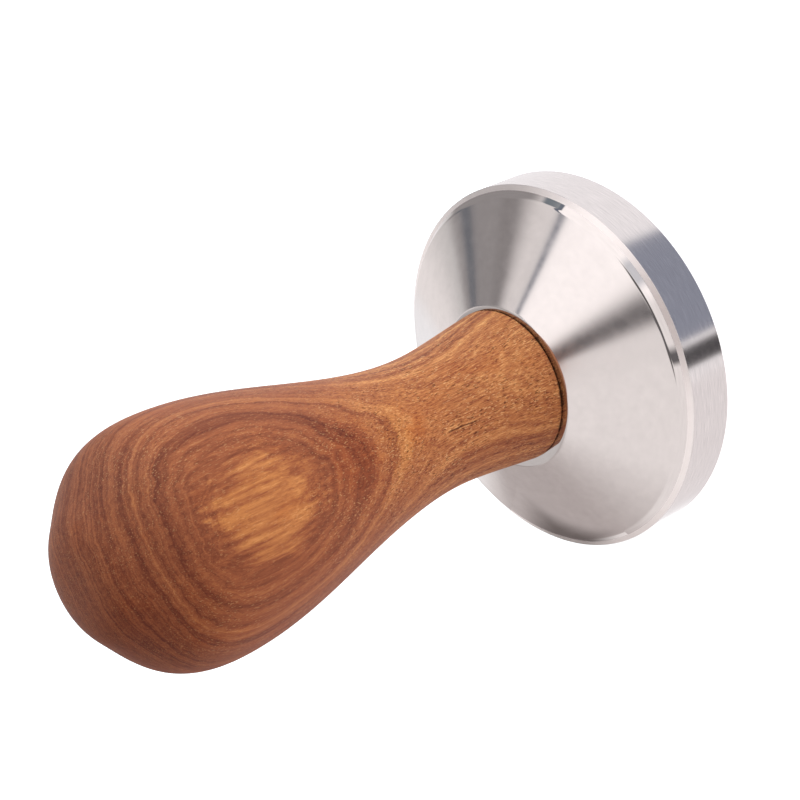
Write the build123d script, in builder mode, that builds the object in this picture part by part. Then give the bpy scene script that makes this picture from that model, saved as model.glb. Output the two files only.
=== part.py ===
"""Espresso tamper, 58 mm: a turned steel base and a turned wooden handle, screwed together.

The tamper stands on its flat tamping face. +Z runs up the handle's axis, and the origin is the
centre of the tamping face.
"""
from build123d import *
from math import radians, tan
import os

os.makedirs("parts", exist_ok=True)

# ---- driving dimensions, in millimetres ----

# steel base
BASE_DIAMETER = 58.0  # fits a 58 mm portafilter basket
WALL_HEIGHT = 7.9  # straight cylinder wall above the tamping face
FOOT_CHAMFER = 0.25  # broken edge round the tamping face
RIM_FACET_WIDTH = 0.8  # first facet on the rim, 32 degrees from level
RIM_FACET_HEIGHT = 0.5
RIM_BAND_WIDTH = 0.75  # second, steeper and slightly crowned band
RIM_BAND_HEIGHT = 0.9
RIM_BAND_CROWN = 0.05
SEAT_HEIGHT = 16.8  # flat seat for the handle, above the tamping face
SEAT_DIAMETER = 25.4
SEAT_EDGE_RADIUS = 0.18

# wooden handle
OVERALL_HEIGHT = 95.7
FOOT_DIAMETER = 23.8  # where the wood meets the steel seat
FOOT_TAPER = 0.1  # how fast the radius falls just above the foot
FOOT_ROUND = 0.3
WAIST_DIAMETER = 20.6
WAIST_HEIGHT = 34.0
FLANK_DIAMETER = 27.2  # where the waist turns outwards to the bulb
FLANK_HEIGHT = 54.7
BULB_DIAMETER = 35.2  # near the widest part of the bulb
BULB_HEIGHT = 76.8
SHOULDER_DIAMETER = 30.8  # where the bulb turns in over the top
SHOULDER_HEIGHT = 87.2
CROWN_DIAMETER = 21.0
CROWN_HEIGHT = 92.2

# M8 x 1.25 connecting stud
THREAD_DIAMETER = 8.0
STUD_LENGTH = 25.0
STUD_REACH = 10.5  # length of stud screwed into the steel base
STUD_END_CHAMFER = 0.9
KEY_ACROSS_FLATS = 4.0
KEY_DEPTH = 5.0

# barbed insert in the handle
INSERT_LENGTH = 16.0
INSERT_RECESS = 0.8  # how far the insert sits back from the end of the wood
INSERT_CORE_DIAMETER = 11.0
BARB_HEIGHT = 0.5  # how far each barb bites into the wood
BARB_COUNT = 5
INSERT_LAND = 2.0  # plain length below the first barb

# holes
RUNNING_CLEARANCE = 0.05  # radial, between the stud and the bores that it screws into
TAPPED_HOLE_DEPTH = 12.0
COUNTERSINK = 0.5
HANDLE_BORE_DEPTH = 19.0
HANDLE_BORE_CHAMFER = 0.6
DRILL_POINT_ANGLE = 118.0

# ---- derived sizes ----

BASE_RADIUS = BASE_DIAMETER / 2
FACET_RADIUS = BASE_RADIUS - RIM_FACET_WIDTH
FACET_TOP = WALL_HEIGHT + RIM_FACET_HEIGHT
CONE_RADIUS = FACET_RADIUS - RIM_BAND_WIDTH
CONE_FOOT = FACET_TOP + RIM_BAND_HEIGHT
BORE_RADIUS = THREAD_DIAMETER / 2 + RUNNING_CLEARANCE
STUD_BOTTOM = SEAT_HEIGHT - STUD_REACH
INSERT_BOTTOM = SEAT_HEIGHT + INSERT_RECESS
INSERT_CORE_RADIUS = INSERT_CORE_DIAMETER / 2
BARB_PITCH = (INSERT_LENGTH - INSERT_LAND) / BARB_COUNT


def drilled_hole(radius, depth, mouth_chamfer):
    """A blind drilled hole to cut away: its mouth is at the origin and it runs up +Z."""
    point_depth = radius / tan(radians(DRILL_POINT_ANGLE / 2))
    with BuildPart() as hole:
        with BuildSketch(Plane.XZ):
            with BuildLine():
                Polyline(
                    (0, 0),
                    (radius + mouth_chamfer, 0),
                    (radius, mouth_chamfer),
                    (radius, depth),
                    (0, depth + point_depth),
                    close=True,
                )
            make_face()
        revolve(axis=Axis.Z)
    return hole.part


# ---- tamper base: one turned piece of stainless steel, tapped for the stud ----

tapped_hole = drilled_hole(BORE_RADIUS, TAPPED_HOLE_DEPTH, COUNTERSINK)

with BuildPart() as tamper_base:
    with BuildSketch(Plane.XZ):
        with BuildLine():
            wall = Polyline(
                (0, 0),
                (BASE_RADIUS - FOOT_CHAMFER, 0),
                (BASE_RADIUS, FOOT_CHAMFER),
                (BASE_RADIUS, WALL_HEIGHT),
                (FACET_RADIUS, FACET_TOP),
            )
            band = SagittaArc(wall @ 1, (CONE_RADIUS, CONE_FOOT), RIM_BAND_CROWN)
            Polyline(band @ 1, (SEAT_DIAMETER / 2, SEAT_HEIGHT), (0, SEAT_HEIGHT), (0, 0))
        make_face()
    revolve(axis=Axis.Z)
    seat_edge = tamper_base.edges().filter_by(GeomType.CIRCLE).sort_by(Axis.Z)[-1]
    fillet(seat_edge, SEAT_EDGE_RADIUS)
    with Locations(Location((0, 0, SEAT_HEIGHT), (180, 0, 0))):
        add(tapped_hole, mode=Mode.SUBTRACT)

tamper_base.part.label = "tamper_base"

# ---- stud: an M8 socket set screw that joins the base to the handle ----

with BuildPart() as stud:
    with Locations((0, 0, STUD_BOTTOM)):
        Cylinder(THREAD_DIAMETER / 2, STUD_LENGTH, align=(Align.CENTER, Align.CENTER, Align.MIN))
    chamfer(stud.edges().filter_by(GeomType.CIRCLE), STUD_END_CHAMFER)
    with BuildSketch(Plane.XY.offset(STUD_BOTTOM)):
        RegularPolygon(KEY_ACROSS_FLATS / 2, 6, major_radius=False)
    extrude(amount=KEY_DEPTH, mode=Mode.SUBTRACT)

stud.part.label = "stud"

# ---- threaded insert: a barbed brass sleeve fixed in the wood ----

with BuildPart() as threaded_insert:
    with BuildSketch(Plane.XZ):
        with BuildLine():
            barb_foot = INSERT_BOTTOM + INSERT_LAND
            line = Line((BORE_RADIUS + COUNTERSINK, INSERT_BOTTOM), (INSERT_CORE_RADIUS, INSERT_BOTTOM))
            line = Line(line @ 1, (INSERT_CORE_RADIUS, barb_foot))
            for barb in range(BARB_COUNT):
                tip = (INSERT_CORE_RADIUS + BARB_HEIGHT, barb_foot + barb * BARB_PITCH)
                root = (INSERT_CORE_RADIUS, barb_foot + (barb + 1) * BARB_PITCH)
                line = Polyline(line @ 1, tip, root)
            Polyline(
                line @ 1,
                (BORE_RADIUS, INSERT_BOTTOM + INSERT_LENGTH),
                (BORE_RADIUS, INSERT_BOTTOM + COUNTERSINK),
                (BORE_RADIUS + COUNTERSINK, INSERT_BOTTOM),
            )
        make_face()
    revolve(axis=Axis.Z)

threaded_insert.part.label = "threaded_insert"

# ---- handle: turned hardwood, slim at the waist and round at the top, bored for the insert ----

insert_bore = drilled_hole(INSERT_CORE_RADIUS, HANDLE_BORE_DEPTH, HANDLE_BORE_CHAMFER)

with BuildPart() as handle:
    with BuildSketch(Plane.XZ):
        with BuildLine():
            outline = Spline(
                (FOOT_DIAMETER / 2, SEAT_HEIGHT),
                (WAIST_DIAMETER / 2, WAIST_HEIGHT),
                (FLANK_DIAMETER / 2, FLANK_HEIGHT),
                (BULB_DIAMETER / 2, BULB_HEIGHT),
                (SHOULDER_DIAMETER / 2, SHOULDER_HEIGHT),
                (CROWN_DIAMETER / 2, CROWN_HEIGHT),
                (0, OVERALL_HEIGHT),
                tangents=((-FOOT_TAPER, 1), (-1, 0)),
            )
            Polyline(outline @ 1, (0, SEAT_HEIGHT), outline @ 0)
        make_face()
    revolve(axis=Axis.Z)
    foot_edge = handle.edges().filter_by(GeomType.CIRCLE).sort_by(Axis.Z)[0]
    fillet(foot_edge, FOOT_ROUND)
    with Locations((0, 0, SEAT_HEIGHT)):
        add(insert_bore, mode=Mode.SUBTRACT)

handle.part.label = "handle"

for piece in (tamper_base, stud, threaded_insert, handle):
    export_step(piece.part, f"parts/{piece.part.label}.step")
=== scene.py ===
"""The looks of the espresso tamper: turned steel base, threaded stud and turned hardwood handle."""

import math

import bpy
import numpy as np
from mathutils import Matrix, Vector


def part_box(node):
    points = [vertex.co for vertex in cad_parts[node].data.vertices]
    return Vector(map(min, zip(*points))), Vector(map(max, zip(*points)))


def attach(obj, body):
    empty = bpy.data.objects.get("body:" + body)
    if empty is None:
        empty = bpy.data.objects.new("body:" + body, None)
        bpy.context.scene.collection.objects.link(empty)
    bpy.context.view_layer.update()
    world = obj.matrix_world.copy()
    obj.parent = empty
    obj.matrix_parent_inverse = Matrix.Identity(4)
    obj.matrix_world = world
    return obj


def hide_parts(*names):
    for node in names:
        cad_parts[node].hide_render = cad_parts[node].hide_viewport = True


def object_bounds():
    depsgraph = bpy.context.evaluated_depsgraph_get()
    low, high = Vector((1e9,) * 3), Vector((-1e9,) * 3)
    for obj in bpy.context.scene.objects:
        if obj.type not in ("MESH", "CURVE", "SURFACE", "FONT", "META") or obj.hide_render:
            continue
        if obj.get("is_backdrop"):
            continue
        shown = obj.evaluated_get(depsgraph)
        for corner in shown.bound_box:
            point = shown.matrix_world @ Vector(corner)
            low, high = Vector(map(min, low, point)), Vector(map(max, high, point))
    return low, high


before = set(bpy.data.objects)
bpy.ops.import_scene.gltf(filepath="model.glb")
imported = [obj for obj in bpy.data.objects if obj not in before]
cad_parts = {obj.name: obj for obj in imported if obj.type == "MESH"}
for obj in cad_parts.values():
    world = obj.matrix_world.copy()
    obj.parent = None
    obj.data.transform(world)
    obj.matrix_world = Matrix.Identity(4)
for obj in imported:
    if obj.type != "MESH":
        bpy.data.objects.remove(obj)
CAD_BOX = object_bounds()

MM = 0.001
SIDES = 256  # round a turned surface


# ---- camera: the photographer's angle, looking down the handle at the base ----

CAMERA_DISTANCE = 303.9 * MM
CAMERA_ELEVATION = math.radians(37.35)
CAMERA_AZIMUTH = math.radians(1.13)
CAMERA_ROLL = math.radians(-114.4)  # lays the upright tamper over, handle to the lower left
CAMERA_LENS = 94.5
AIM_OFFSET = Vector((4.77, 0.0, -12.04)) * MM  # from the middle of the tamper


def add_camera():
    low, high = CAD_BOX
    aim = (low + high) / 2 + AIM_OFFSET
    back = Vector((
        -math.sin(CAMERA_AZIMUTH) * math.cos(CAMERA_ELEVATION),
        -math.cos(CAMERA_AZIMUTH) * math.cos(CAMERA_ELEVATION),
        math.sin(CAMERA_ELEVATION),
    ))
    data = bpy.data.cameras.new("camera")
    data.lens = CAMERA_LENS
    data.clip_start = 1 * MM
    data.clip_end = 100.0
    camera = bpy.data.objects.new("camera", data)
    camera.rotation_mode = "QUATERNION"
    camera.location = aim + back * CAMERA_DISTANCE
    level = (-back).to_track_quat("-Z", "Y")
    camera.rotation_quaternion = level @ Matrix.Rotation(CAMERA_ROLL, 3, "Z").to_quaternion()
    bpy.context.scene.collection.objects.link(camera)
    bpy.context.scene.camera = camera


# ---- node helpers ----

class Nodes:
    """A short way to write a node tree: each method adds a node and returns its output socket."""

    def __init__(self, tree):
        self.tree = tree
        tree.nodes.clear()

    def node(self, kind, **settings):
        made = self.tree.nodes.new(kind)
        for name, value in settings.items():
            setattr(made, name, value)
        return made

    def feed(self, socket, value):
        if isinstance(value, bpy.types.NodeSocket):
            self.tree.links.new(value, socket)
        elif value is not None:
            socket.default_value = value

    def math(self, operation, a, b=None, c=None, clamp=False):
        made = self.node("ShaderNodeMath", operation=operation, use_clamp=clamp)
        for socket, value in zip(made.inputs, (a, b, c)):
            self.feed(socket, value)
        return made.outputs[0]

    def times(self, value, factor):
        return self.math("MULTIPLY", value, factor)

    def add(self, *terms):
        total = terms[0]
        for term in terms[1:]:
            total = self.math("ADD", total, term)
        return total

    def vector(self, operation, a, b=None, scale=None):
        made = self.node("ShaderNodeVectorMath", operation=operation)
        self.feed(made.inputs[0], a)
        self.feed(made.inputs[1], b)
        if scale is not None:
            self.feed(made.inputs["Scale"], scale)
        return made.outputs["Value"] if operation in ("DOT_PRODUCT", "LENGTH") else made.outputs[0]

    def split(self, vector):
        return self.node_from("ShaderNodeSeparateXYZ", vector).outputs

    def node_from(self, kind, value):
        made = self.node(kind)
        self.feed(made.inputs[0], value)
        return made

    def join(self, x, y, z):
        made = self.node("ShaderNodeCombineXYZ")
        for socket, value in zip(made.inputs, (x, y, z)):
            self.feed(socket, value)
        return made.outputs[0]

    def ramp(self, value, low, high, to_low=0.0, to_high=1.0):
        """A smooth step from to_low to to_high as value goes from low to high."""
        made = self.node("ShaderNodeMapRange", interpolation_type="SMOOTHSTEP")
        for socket, number in zip(made.inputs, (value, low, high, to_low, to_high)):
            self.feed(socket, number)
        return made.outputs[0]

    def mix(self, share, a, b, blend="MIX"):
        made = self.node("ShaderNodeMix", data_type="RGBA", blend_type=blend)
        self.feed(made.inputs[0], share)
        self.feed(made.inputs[6], a)
        self.feed(made.inputs[7], b)
        return made.outputs[2]

    def noise(self, vector, scale, detail=2.0, roughness=0.5, distortion=0.0):
        made = self.node("ShaderNodeTexNoise")
        self.feed(made.inputs["Vector"], vector)
        self.feed(made.inputs["Scale"], scale)
        self.feed(made.inputs["Detail"], detail)
        self.feed(made.inputs["Roughness"], roughness)
        self.feed(made.inputs["Distortion"], distortion)
        return made.outputs[0]


def new_material(name):
    material = bpy.data.materials.new(name)
    material.use_nodes = True
    return material, Nodes(material.node_tree)


def place_in_mm(n):
    """Where a point is on its own piece, in mm."""
    return n.vector("SCALE", n.node("ShaderNodeTexCoord").outputs["Object"], scale=1 / MM)


def add_bump(n, shader, height, strength, distance):
    """Bump from a height map; distance is the depth in mm."""
    bump = n.node("ShaderNodeBump")
    n.feed(bump.inputs["Strength"], strength)
    n.feed(bump.inputs["Distance"], distance * MM)
    n.feed(bump.inputs["Height"], height)
    n.feed(shader.inputs["Normal"], bump.outputs[0])


def put_out(n, shader):
    n.feed(n.node("ShaderNodeOutputMaterial").inputs[0], shader.outputs[0])


def rgb(red, green, blue):
    """A colour given as the screen shows it, 0 to 255, as the linear colour that nodes take."""
    shares = [value / 255 for value in (red, green, blue)]
    return tuple(v / 12.92 if v <= 0.04045 else ((v + 0.055) / 1.055) ** 2.4 for v in shares) + (1.0,)


# ---- studio: soft boxes with dark gaps between them, a pale floor ----

# A patch of the studio is bounded by spans, (from, to, softness). Bearings are in degrees from +Y,
# which is away from the camera, towards +X. Heights run from -1, straight down, to 1, straight up.
# An edge used with beyond is (middle, softness). Used with short_of or ramp, it is (at nothing, at full).

FROM_BELOW, FROM_ABOVE = (1.05, 1.02, 1.04, 1), (0.97, 0.92, 0.91, 1)  # the tent itself
TENT_HEIGHTS = (-0.35, 0.2)  # (middle of the change, softness)

LEFT_BOX = (0.54, 0.485, 0.475, 1)  # dimmer, fading in slowly from the side
LEFT_NEAR, LEFT_FAR = (-70.0, -34.0), (-6.0, -15.0)
LEFT_HEIGHT = (-0.60, 0.75, 0.08)

BEHIND = (1.02, 1.01, 1.03, 1)
BEHIND_BEARING, BEHIND_HEIGHT = (-7.0, 14.0, 3.0), (-0.5, 0.5, 0.1)

HIGH = (0.82, 0.78, 0.77, 1)
HIGH_BEARING, HIGH_HEIGHT = (-30.0, 14.0, 4.0), (0.50, 0.72, 0.05)

DUSK = (0.60, 0.585, 0.58, 1)  # light falling off towards the flag
DUSK_NEAR, DUSK_FAR, DUSK_HEIGHT = (18.0, 36.0), (36.5, 33.0), (-0.5, 0.45, 0.1)

TABLE_CONTACT_SHADOW = (0.17, 0.14, 0.13, 1)  # painted shadow: the tamper's contact shadow on the table close under it, a dark patch of the studio that the steel sees
TABLE_CONTACT_SHADOW_BEARING, TABLE_CONTACT_SHADOW_HEIGHT = (-25.0, -4.0, 6.0), (-0.62, -0.33, 0.04)
GLARE = (1.6, 1.6, 1.6, 1)
GLARE_BEARING, GLARE_BELOW = (-24.0, 0.0, 3.0), (-0.62, -0.66)

KEY = (1.29, 1.23, 1.22, 1)  # the large soft box on the right
KEY_SLANT = (-0.23, -0.89, 0.39)  # across its edge, which slants up from behind the tamper
KEY_EDGE, KEY_RIGHT, KEY_LOW = (0.02, 0.03), (0.15, 0.08), (-0.1, 0.2)

FLAG = (0.34, 0.32, 0.32, 1)  # the dark flag beside that box
FLAG_FROM, FLAG_HEIGHT, FLAG_TO = (33.0, 2.0), (-0.42, 0.9, 0.06), (98.5, 96.0)
FLAG_FADE, FLAG_FADED = (-0.34, -0.13), 0.18
FLAG_EDGE = (0.02, 0.0)

FLAG_POST = (0.16, 0.17, 0.195, 1)  # thin dark lines at the flag's edges
FLAG_POST_BEARING, FLAG_POST_HEIGHT = (36.6, 40.4, 1.0), (0.0, 0.6, 0.2)
FLAG_TOP = (0.27, 0.25, 0.25, 1)
FLAG_TOP_BEARING, FLAG_TOP_HEIGHT = (51.0, 56.0, 2.0), (0.5, 0.68, 0.05)
BOX_FRAME = (0.17, 0.19, 0.24, 1)
BOX_FRAME_SLANT, BOX_FRAME_HEIGHT = (-0.020, 0.024, 0.008), (0.2, 0.1)
BOX_FRAME_FROM, BOX_FRAME_TO = (30.0, 5.0), (101.0, 97.0)
BOX_FOOT = (0.22, 0.25, 0.28, 1)
BOX_FOOT_BEARING, BOX_FOOT_HEIGHT = (86.0, 96.5, 2.0), (0.1, 0.35, 0.08)

LEFT_TABLE = (0.93, 0.88, 0.89, 1)
LEFT_TABLE_BEARING, LEFT_TABLE_BELOW = (-136.0, -36.0, 6.0), (-0.3, -0.42)

UNDER = (0.30, 0.32, 0.395, 1)  # what stands under and round the camera
UNDER_EITHER_SIDE, UNDER_BELOW, UNDER_OPENING = (131.5, 2.5), (-0.25, -0.40), (-159.5, -100.0, 1.0)
FRONT = (0.74, 0.74, 0.78, 1)
FRONT_BEARING, FRONT_HEIGHT = (143.0, 160.0, 4.0), (-0.3, 0.7, 0.1)
OVER = (0.14, 0.13, 0.13, 1)
OVER_EITHER_SIDE, OVER_HEIGHT = (136.0, 8.0), (0.71, 0.95, 0.03)

GAP_WAY = (0.908, -0.419, -0.061)  # across the gap that runs from under the camera up to overhead
GAP_SHIFT, GAP_BEND, GAP_BEND_HEIGHTS = 0.045, 0.09, (0.6, 1.0)
GAP_FRONT = (0.06, -0.02)
GAP_UPPER = (0.16, 0.15, 0.155, 1)
GAP_UPPER_LEFT, GAP_UPPER_RIGHT, GAP_UPPER_HEIGHT = (-0.064, 0.034), (0.115, 0.015), (0.1, 0.1)
GAP_LOWER = (0.08, 0.075, 0.08, 1)
GAP_LOWER_SPAN, GAP_LOWER_BELOW = (-0.064, 0.090, 0.012), (0.2, 0.0)

MATT_WAY, MATT_LEVEL = (0.50, -0.24, -0.48), 0.88  # light on matt surfaces: front and right, least overhead
MATT_TINT, WINDOW_TINT = (1.0, 0.98, 0.97), (1.25, 2.3, 2.9)
WHITE = (1.0, 1.0, 1.0, 1)


def add_studio():
    """Soft boxes with dark gaps between them for the steel, and a softer light for matt surfaces.

    The steel shows the studio, so the patches are where the streaks on the cone, the rim and the
    wall say. Diffuse rays get their own gradient instead, and the camera sees plain white.
    """
    world = bpy.data.worlds.new("studio")
    world.use_nodes = True
    n = Nodes(world.node_tree)
    way = n.node("ShaderNodeTexCoord").outputs["Generated"]
    x, y, z = n.split(way)
    bearing = n.times(n.math("ARCTAN2", x, y), 180 / math.pi)
    either_side = n.math("ABSOLUTE", bearing)

    def beyond(value, edge, soft):
        return n.ramp(value, edge - soft, edge + soft)

    def short_of(value, none, full):
        """1 below full, 0 above none."""
        return n.ramp(value, full, none, 1.0, 0.0)

    def within(value, low, high, soft):
        return n.times(beyond(value, low, soft), short_of(value, high + soft, high - soft))

    def both(*masks):
        product = masks[0]
        for mask in masks[1:]:
            product = n.times(product, mask)
        return product

    light = n.mix(beyond(z, *TENT_HEIGHTS), FROM_BELOW, FROM_ABOVE)
    left = both(n.ramp(bearing, *LEFT_NEAR), short_of(bearing, *LEFT_FAR))
    light = n.mix(both(left, within(z, *LEFT_HEIGHT)), light, LEFT_BOX)
    light = n.mix(both(within(bearing, *BEHIND_BEARING), within(z, *BEHIND_HEIGHT)), light, BEHIND)
    light = n.mix(both(within(bearing, *HIGH_BEARING), within(z, *HIGH_HEIGHT)), light, HIGH)
    dusk = both(n.ramp(bearing, *DUSK_NEAR), short_of(bearing, *DUSK_FAR), within(z, *DUSK_HEIGHT))
    light = n.mix(dusk, light, DUSK)
    # painted shadow: the table's contact shadow under the tamper, seen in the steel
    near = both(within(bearing, *TABLE_CONTACT_SHADOW_BEARING), within(z, *TABLE_CONTACT_SHADOW_HEIGHT))
    light = n.mix(near, light, TABLE_CONTACT_SHADOW)
    light = n.mix(both(within(bearing, *GLARE_BEARING), short_of(z, *GLARE_BELOW)), light, GLARE)

    slant = n.vector("DOT_PRODUCT", way, KEY_SLANT)
    key = both(beyond(slant, *KEY_EDGE), beyond(x, *KEY_RIGHT), beyond(z, *KEY_LOW))
    light = n.mix(key, light, KEY)
    flag = both(beyond(bearing, *FLAG_FROM), within(z, *FLAG_HEIGHT))
    flag = both(flag, short_of(bearing, *FLAG_TO), n.ramp(slant, *FLAG_FADE, 1.0, FLAG_FADED))
    light = n.mix(both(flag, short_of(slant, *FLAG_EDGE)), light, FLAG)
    post = both(within(bearing, *FLAG_POST_BEARING), within(z, *FLAG_POST_HEIGHT))
    light = n.mix(post, light, FLAG_POST)
    top = both(within(bearing, *FLAG_TOP_BEARING), within(z, *FLAG_TOP_HEIGHT))
    light = n.mix(top, light, FLAG_TOP)
    box = both(within(slant, *BOX_FRAME_SLANT), beyond(z, *BOX_FRAME_HEIGHT))
    box = both(box, beyond(bearing, *BOX_FRAME_FROM), short_of(bearing, *BOX_FRAME_TO))
    light = n.mix(box, light, BOX_FRAME)
    foot = both(within(bearing, *BOX_FOOT_BEARING), within(z, *BOX_FOOT_HEIGHT))
    light = n.mix(foot, light, BOX_FOOT)

    table = both(within(bearing, *LEFT_TABLE_BEARING), short_of(z, *LEFT_TABLE_BELOW))
    light = n.mix(table, light, LEFT_TABLE)
    under = both(beyond(either_side, *UNDER_EITHER_SIDE), short_of(z, *UNDER_BELOW))
    under = both(under, n.math("SUBTRACT", 1.0, within(bearing, *UNDER_OPENING)))
    light = n.mix(under, light, UNDER)
    light = n.mix(both(within(bearing, *FRONT_BEARING), within(z, *FRONT_HEIGHT)), light, FRONT)
    light = n.mix(both(beyond(either_side, *OVER_EITHER_SIDE), within(z, *OVER_HEIGHT)), light, OVER)

    across = n.math("ADD", n.vector("DOT_PRODUCT", way, GAP_WAY), GAP_SHIFT)
    across = n.math("SUBTRACT", across, n.ramp(z, *GAP_BEND_HEIGHTS, 0.0, GAP_BEND))
    gap = both(beyond(across, *GAP_UPPER_LEFT), short_of(across, *GAP_UPPER_RIGHT))
    gap = both(gap, beyond(z, *GAP_UPPER_HEIGHT), short_of(y, *GAP_FRONT))
    light = n.mix(gap, light, GAP_UPPER)
    gap = both(within(across, *GAP_LOWER_SPAN), short_of(z, *GAP_LOWER_BELOW))
    light = n.mix(both(gap, short_of(y, *GAP_FRONT)), light, GAP_LOWER)

    soft = n.math("ADD", n.vector("DOT_PRODUCT", way, MATT_WAY), MATT_LEVEL)
    soft = n.vector("SCALE", MATT_TINT, scale=soft)
    window = n.math("POWER", n.math("MAXIMUM", x, 0.0), 2.0)
    window = n.vector("SCALE", WINDOW_TINT, scale=window)
    soft = n.vector("ADD", soft, window)
    ray = n.node("ShaderNodeLightPath").outputs
    light = n.mix(ray["Is Diffuse Ray"], light, soft)
    light = n.mix(ray["Is Camera Ray"], light, WHITE)
    shader = n.node("ShaderNodeBackground")
    n.feed(shader.inputs[0], light)
    n.feed(n.node("ShaderNodeOutputWorld").inputs[0], shader.outputs[0])
    bpy.context.scene.world = world


FLOOR_SIZE = 6.0  # metres
FLOOR_DROP = 0.02  # mm below the tamper, so the two never share a plane
FLOOR_GREY = 0.9
FLOOR_GLOW = 0.75  # keeps the floor as pale as the backdrop


def add_floor():
    half = FLOOR_SIZE / 2
    mesh = bpy.data.meshes.new("floor")
    corners = [(-half, -half, 0), (half, -half, 0), (half, half, 0), (-half, half, 0)]
    mesh.from_pydata(corners, [], [(0, 1, 2, 3)])
    floor = bpy.data.objects.new("floor", mesh)
    floor.location.z = -FLOOR_DROP * MM
    material, n = new_material("floor")
    shader = n.node("ShaderNodeBsdfPrincipled")
    shader.inputs["Base Color"].default_value = (FLOOR_GREY, FLOOR_GREY, FLOOR_GREY, 1)
    shader.inputs["Roughness"].default_value = 0.9
    shader.inputs["Emission Color"].default_value = WHITE
    shader.inputs["Emission Strength"].default_value = FLOOR_GLOW
    put_out(n, shader)
    mesh.materials.append(material)
    floor.visible_glossy = False  # the steel sees the studio's own table instead
    bpy.context.scene.collection.objects.link(floor)
    floor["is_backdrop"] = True


CARD_RADIUS = 33.0
CARD_FROM, CARD_TO = 126, 174  # degrees from +X towards +Y
CARD_STEP = 2
CARD_LOW, CARD_HIGH = 3.5, 13.8
# the card's colours glow: dark in the middle as a painted shadow, pale at the ends
CARD_PAINTED_SHADOW, CARD_PALE = (0.17, 0.145, 0.14, 1), (0.56, 0.505, 0.495, 1)
CARD_FOOT = (0.95, 0.90, 0.89, 1)  # the pale ends turn lighter still below the rim
CARD_CORE = 5.0  # degrees either side of the middle that stay fully dark
CARD_FADE_TOP, CARD_FADE_FOOT, CARD_FOOT_HEIGHTS = 10.5, 5.0, (7.5, 9.0)


def add_shadow_card():
    """A curved glowing card beside the rim, dark in the middle: only the steel sees it, on the cone's far
    edge. The dark middle is a painted shadow, the table's contact shadow by the rim, and the pale ends glow
    like the lit table around it.
    """
    points = []
    for degrees in range(CARD_FROM, CARD_TO + 1, CARD_STEP):
        angle = math.radians(degrees)
        x, y = CARD_RADIUS * math.cos(angle) * MM, CARD_RADIUS * math.sin(angle) * MM
        points += [(x, y, CARD_LOW * MM), (x, y, CARD_HIGH * MM)]
    faces = [(k, k + 1, k + 3, k + 2) for k in range(0, len(points) - 2, 2)]
    mesh = bpy.data.meshes.new("card")
    mesh.from_pydata(points, [], faces)
    card = bpy.data.objects.new("card", mesh)
    material, n = new_material("card")
    x, y, z = n.split(place_in_mm(n))
    angle = n.times(n.math("ARCTAN2", y, x), 180 / math.pi)
    middle = (CARD_FROM + CARD_TO) / 2
    from_middle = n.math("ABSOLUTE", n.math("SUBTRACT", angle, middle))
    pale = n.ramp(from_middle, CARD_CORE, CARD_TO - middle)
    pale = n.math("MAXIMUM", pale, n.ramp(z, CARD_FADE_TOP, CARD_HIGH))
    pale = n.math("MAXIMUM", pale, n.ramp(z, CARD_FADE_FOOT, CARD_LOW))
    ends = n.mix(n.ramp(z, *CARD_FOOT_HEIGHTS), CARD_FOOT, CARD_PALE)
    shader = n.node("ShaderNodeBsdfPrincipled")
    shader.inputs["Base Color"].default_value = (0.0, 0.0, 0.0, 1)
    shader.inputs["Roughness"].default_value = 1.0
    n.feed(shader.inputs["Emission Color"], n.mix(pale, CARD_PAINTED_SHADOW, ends))
    shader.inputs["Emission Strength"].default_value = 1.0
    put_out(n, shader)
    mesh.materials.append(material)
    card.visible_camera = False
    card.visible_diffuse = False
    card.visible_shadow = False
    bpy.context.scene.collection.objects.link(card)
    card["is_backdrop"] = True


# ---- turned shapes ----

def skinned(name, rings, ends):
    """A closed surface over rings of points, with a point at each end: ends holds their heights."""
    sides = len(rings[0])
    points = [(0.0, 0.0, ends[0])]
    for ring in rings:
        points += ring
    points.append((0.0, 0.0, ends[1]))
    last = len(points) - 1
    faces = []
    for i in range(sides):
        j = (i + 1) % sides
        faces.append((0, 1 + j, 1 + i))
        for k in range(len(rings) - 1):
            low, high = 1 + k * sides, 1 + (k + 1) * sides
            faces.append((low + i, low + j, high + j, high + i))
        top = 1 + (len(rings) - 1) * sides
        faces.append((top + i, top + j, last))
    mesh = bpy.data.meshes.new(name)
    mesh.from_pydata(points, [], faces)
    mesh.polygons.foreach_set("use_smooth", [True] * len(mesh.polygons))
    piece = bpy.data.objects.new(name, mesh)
    bpy.context.scene.collection.objects.link(piece)
    return piece


def ring_of(radius, height, sides):
    """One ring of points about Z; radius is a number, or a function of the angle."""
    ring = []
    for k in range(sides):
        angle = k * 2 * math.pi / sides
        reach = radius(angle) if callable(radius) else radius
        ring.append((reach * math.cos(angle), reach * math.sin(angle), height))
    return ring


def turned(name, outline, sides=SIDES):
    """A closed surface of revolution about Z from (radius, height) points, first and last on the axis."""
    rings = [ring_of(radius, height, sides) for radius, height in outline[1:-1]]
    return skinned(name, rings, (outline[0][1], outline[-1][1]))


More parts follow.
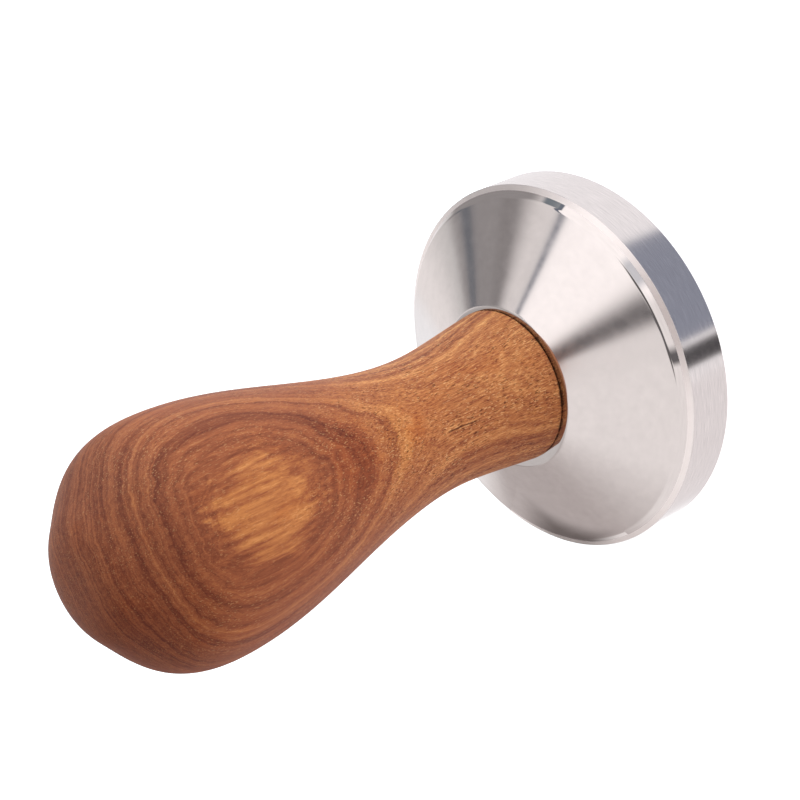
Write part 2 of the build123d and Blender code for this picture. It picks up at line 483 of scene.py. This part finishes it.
def rounded(corners, steps=5, hold=0.03):
    """An outline in mm through corners (radius, height, rounding), each rounded by an arc.

    A point is kept just before and after each arc, so that the flats beside it shade flat.
    """
    path = [corners[0][:2]]
    for before, here, after in zip(corners, corners[1:], corners[2:]):
        p, q, r = (np.array(c[:2], float) for c in (before, here, after))
        size = here[2]
        if size == 0:
            path.append(tuple(q))
            continue
        u, v = (p - q) / np.linalg.norm(p - q), (r - q) / np.linalg.norm(r - q)
        half = math.acos(float(np.clip(u @ v, -1, 1))) / 2
        back = size / math.tan(half)
        centre = q + (u + v) / np.linalg.norm(u + v) * size / math.sin(half)
        start, end = q + u * back - centre, q + v * back - centre
        turn = math.pi - 2 * half
        path.append(tuple(q + u * (back + hold)))
        for k in range(steps + 1):
            share = k / steps
            a, b = math.sin((1 - share) * turn), math.sin(share * turn)
            path.append(tuple(centre + (start * a + end * b) / math.sin(turn)))
        path.append(tuple(q + v * (back + hold)))
    path.append(corners[-1][:2])
    return [(radius * MM, height * MM) for radius, height in path]


# ---- tamper base ----

BASE_SIDES = 512
WALL_TOP = 7.9
FACET_WIDTH, FACET_TOP = 0.8, 8.4
BAND_WIDTH, CONE_FOOT = 0.75, 9.3  # the polished band between the facet and the cone
SEAT_RADIUS = 12.7
FOOT_CHAMFER = 0.25
TAPPED_RADIUS, TAPPED_DEPTH, DRILL_POINT = 4.05, 12.0, 2.43
COUNTERSINK = 0.5
EDGE, FINE_EDGE, FOOT_EDGE = 0.06, 0.05, 0.12  # roundings
BAND_ROUND, SEAT_ROUND = 1.1, 1.4


def add_base():
    _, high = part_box("tamper_base")
    radius, seat = high.x / MM, high.z / MM
    corners = [
        (0, 0, 0),
        (radius - FOOT_CHAMFER, 0, FOOT_EDGE),
        (radius, FOOT_CHAMFER, FOOT_EDGE),
        (radius, WALL_TOP, EDGE),
        (radius - FACET_WIDTH, FACET_TOP, EDGE),
        (radius - FACET_WIDTH - BAND_WIDTH, CONE_FOOT, BAND_ROUND),
        (SEAT_RADIUS, seat, SEAT_ROUND),
        (TAPPED_RADIUS + COUNTERSINK, seat, FINE_EDGE),
        (TAPPED_RADIUS, seat - COUNTERSINK, FINE_EDGE),
        (TAPPED_RADIUS, seat - TAPPED_DEPTH, FINE_EDGE),
        (0, seat - TAPPED_DEPTH - DRILL_POINT, 0),
    ]
    base = turned("base_body", rounded(corners), BASE_SIDES)
    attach(base, "base")
    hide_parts("tamper_base")
    base.data.materials.append(turned_steel())


STEEL = (0.76, 0.725, 0.715)
FACET_ZONE, FACET_ABOVE = (28.22, 28.97), (7.86, 7.92)  # (radii), (heights) where each finish starts
BAND_ZONE, BAND_ABOVE = (27.3, 28.2), (8.36, 8.42)
SEAT_ABOVE, WALL_BELOW = (16.72, 16.76), (7.8, 7.9)
# painted shade: the seat's colour is darkened by this share, for the shade under the wood's foot
SEAT_PAINTED_SHADE = -0.42
SEAT_PAINTED_SHADE_SPAN, SEAT_PAINTED_SHADE_LEAST = (-9.0, -3.0), 0.5  # painted shade, weaker on the -X side
HAIR_SCALES, RING_SCALES = (0.35, 4.5), (0.03, 2.2)  # of the fine lines, (along, across)


def turned_steel():
    """Brushed on the cone and the wall, cut with fine lines on the facet, polished on the band and seat;
    the facet's colour carries a painted highlight and the seat's a painted shade.
    """
    material, n = new_material("turned_steel")
    place = place_in_mm(n)
    x, y, z = n.split(place)
    radius = n.vector("LENGTH", n.join(x, y, 0.0))
    angle = n.math("ARCTAN2", y, x)
    times, add = n.times, n.add

    def zone(value, low, high, soft=0.03):
        rise = n.ramp(value, low - soft, low + soft)
        return times(rise, n.ramp(value, high - soft, high + soft, 1.0, 0.0))

    # lines run round the axis: fine across it, long along it
    along = times(angle, 29.0)
    out = add(radius, times(z, 1.7))
    hair = n.join(times(along, HAIR_SCALES[0]), times(out, HAIR_SCALES[1]), 0.0)
    hair = n.noise(hair, 1.0, 3.0, 0.6)
    rings = n.join(times(along, RING_SCALES[0]), times(out, RING_SCALES[1]), 7.0)
    rings = n.noise(rings, 1.0, 3.0, 0.7)
    cloud = n.noise(place, 0.16, 3.0, 0.55, 0.6)
    uneven = n.math("SUBTRACT", hair, 0.5)
    cloudy = n.math("SUBTRACT", cloud, 0.5)

    facet = times(zone(radius, *FACET_ZONE), n.ramp(z, *FACET_ABOVE))
    polished = times(zone(radius, *BAND_ZONE), n.ramp(z, *BAND_ABOVE))
    seat = n.ramp(z, *SEAT_ABOVE)
    smooth = n.math("MAXIMUM", polished, seat)
    wall = n.ramp(z, *WALL_BELOW, 1.0, 0.0)
    rough = n.math("MULTIPLY_ADD", hair, 0.08, n.math("MULTIPLY_ADD", wall, 0.05, 0.09))
    rough = add(rough, times(cloudy, 0.06), times(facet, 0.32))
    rough = n.math("SUBTRACT", rough, times(smooth, 0.10))

    shade = n.math("MULTIPLY_ADD", uneven, 0.16, 1.0)
    # partly real: the facet is rougher; its colour is also lifted by 0.30 as a painted highlight, the
    # bright line at the rim
    shade = add(shade, times(cloudy, 0.05), times(facet, 0.30), times(uneven, times(wall, 0.35)))
    # painted shade: the seat's colour is darkened, less on the -X side
    dark = times(seat, n.ramp(x, *SEAT_PAINTED_SHADE_SPAN, SEAT_PAINTED_SHADE_LEAST, 1.0))
    shade = times(shade, n.math("MULTIPLY_ADD", dark, SEAT_PAINTED_SHADE, 1.0))

    shader = n.node("ShaderNodeBsdfPrincipled")
    n.feed(shader.inputs["Base Color"], n.vector("SCALE", STEEL, scale=shade))
    n.feed(shader.inputs["Roughness"], rough)
    add_bump(n, shader, add(times(hair, 0.5), rings), 0.35, 0.002)
    shader.inputs["Metallic"].default_value = 1.0
    shader.inputs["Anisotropic"].default_value = 0.8
    shader.inputs["Anisotropic Rotation"].default_value = 0.25
    tangent = n.node("ShaderNodeTangent", direction_type="RADIAL", axis="Z")
    n.feed(shader.inputs["Tangent"], tangent.outputs[0])
    put_out(n, shader)
    return material


# ---- handle ----

HANDLE_OUTLINE = [  # (radius, height) in mm: foot, waist, flank, bulb, shoulder, crown, top
    (11.9, 16.8),
    (10.3, 34.0),
    (13.6, 54.7),
    (17.6, 76.8),
    (15.4, 87.2),
    (10.5, 92.2),
    (0.0, 95.7),
]
FOOT_SLOPE = (-0.111, 1.110)  # sideways and up, as long as the CAD's own spline has them
TOP_SLOPE = (-1.893, 0.0)
HANDLE_RINGS = 230
HANDLE_ROUND, BORE_EDGE = 0.3, 0.05
CURVE_START = 0.75  # above the seat, clear of the rounded foot
BORE_RADIUS, BORE_MOUTH, BORE_CHAMFER = 5.5, 6.1, 0.6
BORE_DEPTH, BORE_TIP = 19.0, 22.3  # above the seat: where the drill's point starts and ends


def smooth_curve(points, start, end, count):
    """Points along the cubic spline through points, with the given slopes at its ends."""
    points = np.array(points, float)
    gaps = np.linalg.norm(np.diff(points, axis=0), axis=1)
    size = len(points)
    lhs, rhs = np.zeros((size, size)), np.zeros((size, 2))
    lhs[0, 0] = lhs[-1, -1] = 1.0
    rhs[0], rhs[-1] = start, end
    for i in range(1, size - 1):
        before, after = gaps[i - 1], gaps[i]
        lhs[i, i - 1:i + 2] = after, 2 * (before + after), before
        rise, fall = (points[i] - points[i - 1]) / before, (points[i + 1] - points[i]) / after
        rhs[i] = 3 * (after * rise + before * fall)
    slopes = np.linalg.solve(lhs, rhs)
    knots = np.concatenate(([0], np.cumsum(gaps)))
    found = []
    for at in np.linspace(0, knots[-1], count):
        i = min(int(np.searchsorted(knots, at, side="right")) - 1, size - 2)
        t, gap = (at - knots[i]) / gaps[i], gaps[i]
        found.append(
            (2 * t**3 - 3 * t**2 + 1) * points[i]
            + (t**3 - 2 * t**2 + t) * gap * slopes[i]
            + (3 * t**2 - 2 * t**3) * points[i + 1]
            + (t**3 - t**2) * gap * slopes[i + 1]
        )
    return found


def add_handle():
    low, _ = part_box("handle")
    seat = low.z / MM
    curve = smooth_curve(HANDLE_OUTLINE, FOOT_SLOPE, TOP_SLOPE, HANDLE_RINGS)
    above = [tuple(point) for point in curve if point[1] > seat + CURVE_START]
    foot = [
        (0, seat + BORE_TIP, 0),
        (BORE_RADIUS, seat + BORE_DEPTH, BORE_EDGE),
        (BORE_RADIUS, seat + BORE_CHAMFER, BORE_EDGE),
        (BORE_MOUTH, seat, BORE_EDGE),
        (HANDLE_OUTLINE[0][0], seat, HANDLE_ROUND),
        above[0] + (0,),
    ]
    outline = rounded(foot) + [(radius * MM, height * MM) for radius, height in above[1:]]
    handle = turned("handle_wood", outline)
    push_aside(handle, seat)
    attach(handle, "handle")
    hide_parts("handle")
    handle.data.materials.append(hardwood())


PITH_DEPTH = 39.4  # the heart of the tree ran this far behind the handle's axis
PITH_SIDE = -0.42
PITH_LEAN = (0.052, -0.018)  # how the heart leans, across and away, per mm of height
BULB_LEVEL = 76.0
HONEY_DEPTH = 16.7  # layers outside this are honey-coloured sapwood
LAYERS = [  # (distance outside the axis, half width, lighter or darker)
    (16.3, 0.4, -0.06),
    (15.2, 0.25, 0.05),
    (14.3, 0.35, -0.12),
    (13.2, 0.25, 0.10),
    (12.6, 0.15, -0.05),
    (11.9, 0.35, 0.17),
    (11.2, 0.15, 0.06),
    (10.6, 0.25, -0.08),
    (9.2, 0.2, 0.09),
    (8.3, 0.3, -0.11),
    (7.4, 0.25, -0.09),
    (6.4, 0.2, 0.07),
    (5.6, 0.2, -0.08),
    (4.6, 0.25, -0.09),
    (3.1, 0.2, 0.06),
    (1.9, 0.25, -0.07),
    (0.5, 0.3, -0.04),
    (-2.4, 0.5, 0.04),
]
OUTER_LAYER = 10.0  # layers outside this fade out towards the neck, those inside grow stronger
LAYER_EDGES = (1.7, 0.2)  # where a layer ends and where it is full, in half widths
INNER_HEIGHTS, INNER_STRENGTHS = (54.0, 40.0), (0.66, 1.5)
OUTER_HEIGHTS, OUTER_STRENGTHS = (34.0, 50.0), (0.1, 0.66)
MIDDLE_TONE = 0.41
NECK_PAINTED_LIGHT, CROWN_PAINTED_SHADE = (62.0, 40.0, 0.0, 0.16), (80.0, 93.0, 0.0, -0.09)  # (heights, then change): painted light at the neck, painted shade at the crown
FIBRE_FADE = (66.0, 38.0, 0.32, 1.15)  # the fibre shows more at the neck than on the bulb
PORE_FADE = (72.0, 45.0, 0.4, 1.0)


FOOT_OFFSET = (0.34, 0.06)  # the foot of the wood sits a little to one side of the seat
OFFSET_FADE = 30.0  # height over which that fades to nothing
OFFSET_INSIDE = 8.0  # the bore, within this radius, stays on the axis


def push_aside(handle, seat):
    """Moves the foot of the wood a little to one side, with the bore left on the axis."""
    for vertex in handle.data.vertices:
        if math.hypot(vertex.co.x, vertex.co.y) > OFFSET_INSIDE * MM:
            fade = max(0.0, 1 - (vertex.co.z / MM - seat) / OFFSET_FADE)
            share = fade * fade * (3 - 2 * fade) * MM
            vertex.co.x += FOOT_OFFSET[0] * share
            vertex.co.y += FOOT_OFFSET[1] * share


GOLD_SPOT = (-0.4, -11.8, 47.5)  # where the layers part at the waist, in mm
GOLD_SPOT_SIZE = 6.0
RED_SPOTS = [((-0.3, -11.2, 44.0), 3.2), ((0.3, -14.3, 57.5), 8.0)]  # (place, size)
CRACK_X, CRACK_MIDDLE, CRACK_LEAN = -2.45, 35.4, 0.05  # where it crosses, at what height, its slope
CRACK_WIDTH, CRACK_FRONT = (0.16, 0.05), (-5.0, -8.0)  # mm, (at nothing, at full), like the next three
CRACK_LOW_END, CRACK_HIGH_END = (31.8, 33.0), (38.8, 37.6)
# painted shadow in the gap at the foot of the wood
GAP_SHADOW_HEIGHTS = (17.10, 16.85)
WOOD_ROUGHNESS, WOOD_IOR, WOOD_SPECULAR = 0.52, 1.38, 0.2  # oiled wood, hardly shiny
WOOD_SPECULAR_TINT = (1.0, 0.82, 0.66, 1)

WOOD_STOPS = [  # (tone, colour), dark to light
    (0.0, rgb(64, 28, 22)),
    (0.22, rgb(107, 51, 36)),
    (0.45, rgb(151, 83, 53)),
    (0.7, rgb(190, 119, 71)),
    (1.0, rgb(226, 165, 107)),
]
RED_TINT, GOLD_TINT = (0.92, 0.74, 0.62, 1), (1.12, 1.10, 0.86, 1)  # slow drifts of colour
GOLD_SPOT_TINT, HONEY_TINT = (1.05, 1.05, 0.80, 1), (1.02, 1.0, 0.80, 1)
RED_SPOT_TINT = (0.90, 0.66, 0.54, 1)
PORE_COLOUR, DUST_COLOUR = rgb(72, 30, 18), rgb(228, 172, 118)
CRACK_COLOUR, GAP_SHADOW_COLOUR = rgb(70, 30, 18), rgb(44, 24, 18)


def hardwood():
    """Turned reddish hardwood: growth layers cut across by the shape, fibres and pores along the axis."""
    material, n = new_material("hardwood")
    place = place_in_mm(n)
    x, y, z = n.split(place)
    times, add = n.times, n.add
    rise = n.math("SUBTRACT", z, BULB_LEVEL)

    def grain(across, along, detail=2.0, roughness=0.5, seed=0.0, distortion=0.0):
        """Noise around zero, drawn out along the axis."""
        stretched = n.vector("MULTIPLY", place, (across, across, along))
        stretched = n.vector("ADD", stretched, (seed, 2 * seed, -seed))
        return n.math("SUBTRACT", n.noise(stretched, 1.0, detail, roughness, distortion), 0.5)

    # growth layers: cylinders about the heart, a little wavy
    side = n.math("MULTIPLY_ADD", rise, -PITH_LEAN[0], n.math("SUBTRACT", x, PITH_SIDE))
    away = n.math("MULTIPLY_ADD", rise, -PITH_LEAN[1], n.math("SUBTRACT", y, PITH_DEPTH))
    depth = n.math("SUBTRACT", n.vector("LENGTH", n.join(side, away, 0.0)), PITH_DEPTH)
    depth = add(depth, times(grain(0.075, 0.03, 1.0), 1.8), times(grain(0.45, 0.10, 2.0, seed=3.0), 1.0))
    depth = add(depth, times(grain(1.7, 0.30, 2.0, seed=4.0), 0.30))
    inner = n.ramp(z, *INNER_HEIGHTS, *INNER_STRENGTHS)
    outer = n.ramp(z, *OUTER_HEIGHTS, *OUTER_STRENGTHS)
    tone = MIDDLE_TONE
    ends, full = LAYER_EDGES
    for centre, half, lift in LAYERS:
        near = n.ramp(n.math("ABSOLUTE", n.math("SUBTRACT", depth, centre)), half * ends, half * full)
        tone = add(tone, times(times(near, lift), outer if centre > OUTER_LAYER else inner))
    fine = n.noise(n.join(times(depth, 3.0), times(z, 0.012), times(x, 0.02)), 1.0, 4.0, 0.68)
    tone = add(tone, times(n.math("SUBTRACT", fine, 0.5), 0.62))

    # fibres, streaks and slow patches
    fibre = grain(6.5, 0.30, 3.0, 0.65, seed=11.0)
    streak = grain(1.4, 0.07, 3.0, 0.55, seed=5.0)
    patch = grain(0.11, 0.05, 3.0, 0.6, seed=8.0)
    sharp = n.ramp(z, *FIBRE_FADE)
    tone = add(tone, times(fibre, sharp), times(streak, 0.26), times(patch, 0.12))
    honey = add(depth, times(streak, 1.8), times(grain(0.5, 0.2, 3.0, 0.6, seed=37.0), 2.2))
    honey = n.ramp(honey, HONEY_DEPTH - 0.6, HONEY_DEPTH + 0.9)
    tone = add(tone, times(honey, n.math("MULTIPLY_ADD", streak, 0.45, 0.20)))
    # painted light and shade: the tone is raised at the neck and lowered at the crown, for how the light
    # falls along the handle
    tone = add(tone, n.ramp(z, *NECK_PAINTED_LIGHT), n.ramp(z, *CROWN_PAINTED_SHADE))

    def spot(centre, size):
        """1 at a place on the handle, 0 beyond size from it."""
        far = n.vector("LENGTH", n.vector("SUBTRACT", place, centre))
        ragged = add(far, times(grain(0.6, 0.4, 3.0, 0.6, seed=26.0), size * 1.6))
        return n.ramp(ragged, size, size * 0.25)

    ramp = n.node("ShaderNodeValToRGB")
    n.feed(ramp.inputs[0], tone)
    while len(ramp.color_ramp.elements) < len(WOOD_STOPS):
        ramp.color_ramp.elements.new(0.5)
    for element, (at, colour) in zip(ramp.color_ramp.elements, WOOD_STOPS):
        element.position = at
        element.color = colour
    colour = ramp.outputs[0]
    red = n.ramp(grain(0.16, 0.07, 3.0, 0.6, seed=14.0), 0.02, 0.2)
    colour = n.mix(times(red, 0.45), colour, RED_TINT, "MULTIPLY")
    gold = n.ramp(grain(0.13, 0.06, 3.0, 0.6, seed=21.0), 0.03, 0.2)
    colour = n.mix(times(gold, 0.25), colour, GOLD_TINT, "MULTIPLY")
    colour = n.mix(times(spot(GOLD_SPOT, GOLD_SPOT_SIZE), 0.4), colour, GOLD_SPOT_TINT, "MULTIPLY")
    colour = n.mix(times(honey, 0.4), colour, HONEY_TINT, "MULTIPLY")
    for centre, size in RED_SPOTS:
        colour = n.mix(times(spot(centre, size), 0.55), colour, RED_SPOT_TINT, "MULTIPLY")

    # open pores: short dark dashes along the grain, with pale dust in some
    crowd = n.ramp(grain(0.22, 0.1, 2.0, seed=17.0), -0.12, 0.15, 0.45, 1.0)
    crowd = times(crowd, n.ramp(z, *PORE_FADE))
    pores = times(n.ramp(grain(5.6, 1.2, 1.0, seed=31.0), 0.09, 0.18), crowd)
    dust = times(n.ramp(grain(6.0, 1.6, 1.0, seed=43.0), 0.10, 0.20), crowd)
    colour = n.mix(times(pores, 0.78), colour, PORE_COLOUR)
    colour = n.mix(times(dust, 0.62), colour, DUST_COLOUR)

    # a short drying crack in the neck, on the camera's side
    lean = times(n.math("SUBTRACT", z, CRACK_MIDDLE), -CRACK_LEAN)
    off = n.math("ABSOLUTE", add(x, -CRACK_X, lean, times(grain(0.8, 0.5, seed=61.0), 0.5)))
    crack = times(n.ramp(off, *CRACK_WIDTH), n.ramp(y, *CRACK_FRONT))
    crack = times(crack, times(n.ramp(z, *CRACK_LOW_END), n.ramp(z, *CRACK_HIGH_END)))
    colour = n.mix(times(crack, 0.8), colour, CRACK_COLOUR)

    # painted shadow: a thin ragged dark line at the foot of the wood, for the shade in the gap where the
    # wood meets the steel
    foot = add(z, times(grain(0.9, 0.5, 3.0, 0.7, seed=51.0), 1.6))
    foot = n.ramp(foot, *GAP_SHADOW_HEIGHTS)
    colour = n.mix(times(foot, 0.65), colour, GAP_SHADOW_COLOUR)

    rough = add(times(pores, 0.12), n.math("MULTIPLY_ADD", fibre, 0.15, WOOD_ROUGHNESS))
    height = add(times(pores, -1.0), times(fibre, 0.5), times(dust, -0.3))
    shader = n.node("ShaderNodeBsdfPrincipled")
    n.feed(shader.inputs["Base Color"], colour)
    n.feed(shader.inputs["Roughness"], rough)
    add_bump(n, shader, height, 0.5, 0.05)
    shader.inputs["IOR"].default_value = WOOD_IOR
    shader.inputs["Specular IOR Level"].default_value = WOOD_SPECULAR
    shader.inputs["Specular Tint"].default_value = WOOD_SPECULAR_TINT
    put_out(n, shader)
    return material


# ---- stud and insert ----

THREAD_PITCH = 1.25
THREAD_DEPTH = 0.74
CREST_SHARE = 0.13  # flat top of the thread, as a share of the pitch
ROOT_SHARE = 0.25
THREAD_STEPS = 14  # rings to one turn of thread
STUD_SIDES = 72
STUD_CHAMFER = 0.9
KEY_ACROSS_FLATS = 4.0
KEY_DEPTH = 5.0
KEY_POINT = 0.8  # how far the socket's drilled end runs on
KEY_LEAD = 0.1  # broken edge at the mouth of the socket
CREST_SHY = 0.02  # the crests stay this far inside the CAD stud


def thread_radius(crest, height, angle):
    """How far the thread stands out at one height and angle: crest, flank or root."""
    turn = (height / THREAD_PITCH - angle / (2 * math.pi)) % 1.0
    gap = abs(turn - 0.5) * 2  # 1 in the middle of the crest, 0 in the middle of the root
    share = (gap - ROOT_SHARE) / (1 - ROOT_SHARE - CREST_SHARE)
    share = min(1.0, max(0.0, share))
    return crest - THREAD_DEPTH * (1 - share)


def add_stud():
    low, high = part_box("stud")
    crest, bottom, top = high.x / MM - CREST_SHY, low.z / MM, high.z / MM

    def key(angle):
        """How far the hexagonal socket reaches at one angle."""
        from_flat = (angle + math.pi / 6) % (math.pi / 3) - math.pi / 6
        return KEY_ACROSS_FLATS / 2 / math.cos(from_flat) * MM

    def thread(height):
        to_end = min(height - bottom, top - height)
        tip = crest - STUD_CHAMFER + to_end
        return lambda angle: min(tip, thread_radius(crest, height, angle)) * MM

    rings = [ring_of(key, (bottom + KEY_DEPTH) * MM, STUD_SIDES)]
    rings.append(ring_of(key, (bottom + KEY_LEAD) * MM, STUD_SIDES))
    rings.append(ring_of(lambda angle: key(angle) + KEY_LEAD * MM, bottom * MM, STUD_SIDES))
    count = round((top - bottom) / THREAD_PITCH * THREAD_STEPS)
    for k in range(count + 1):
        height = bottom + (top - bottom) * k / count
        rings.append(ring_of(thread(height), height * MM, STUD_SIDES))
    stud = skinned("set_screw", rings, ((bottom + KEY_DEPTH + KEY_POINT) * MM, top * MM))
    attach(stud, "stud")
    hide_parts("stud")
    stud.data.materials.append(screw_steel())


SCREW_DARK, SCREW_LIGHT = (0.42, 0.43, 0.45, 1), (0.64, 0.64, 0.65, 1)
BRASS_DARK, BRASS_LIGHT = (0.70, 0.47, 0.19, 1), (0.86, 0.64, 0.30, 1)


def plain_metal(name, pattern, relief, dark, light, least_rough, rough_range):
    """A metal whose colour follows pattern, and whose roughness and fine bump follow relief.

    Both are functions that take the node tree and the place in mm, and return a value from 0 to 1.
    """
    material, n = new_material(name)
    place = place_in_mm(n)
    height = relief(n, place)
    shader = n.node("ShaderNodeBsdfPrincipled")
    n.feed(shader.inputs["Base Color"], n.mix(pattern(n, place), dark, light))
    n.feed(shader.inputs["Roughness"], n.math("MULTIPLY_ADD", height, rough_range, least_rough))
    shader.inputs["Metallic"].default_value = 1.0
    add_bump(n, shader, height, 0.3, 0.01)
    put_out(n, shader)
    return material


def screw_steel():
    """Zinc-plated screw steel, a little cloudy."""
    def cloud(n, place):
        return n.noise(place, 0.9, 4.0, 0.6)

    def grit(n, place):
        return n.noise(place, 9.0, 2.0, 0.6)

    return plain_metal("screw_steel", cloud, grit, SCREW_DARK, SCREW_LIGHT, 0.2, 0.2)


def turned_brass():
    """Brass with fine turning lines and a few stains."""
    def stain(n, place):
        return n.noise(place, 0.5, 4.0, 0.6)

    def lines(n, place):
        x, y, z = n.split(place)
        radius = n.vector("LENGTH", n.join(x, y, 0.0))
        stretched = n.join(n.times(radius, 6.0), n.times(z, 6.0), 0.0)
        return n.noise(stretched, 1.0, 3.0, 0.6)

    return plain_metal("turned_brass", stain, lines, BRASS_DARK, BRASS_LIGHT, 0.15, 0.25)


def finish_insert():
    """The barbed sleeve keeps its CAD shape and gets brass."""
    material = turned_brass()
    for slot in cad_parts["threaded_insert"].material_slots:
        slot.material = material


# ---- the scene ----

add_camera()
add_studio()
add_floor()
add_shadow_card()
add_base()
add_handle()
add_stud()
finish_insert()
bpy.context.scene.view_settings.view_transform = "Standard"

boxes = {"cad": CAD_BOX, "visual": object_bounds()}
{name: [list(corner) for corner in box] for name, box in boxes.items()}
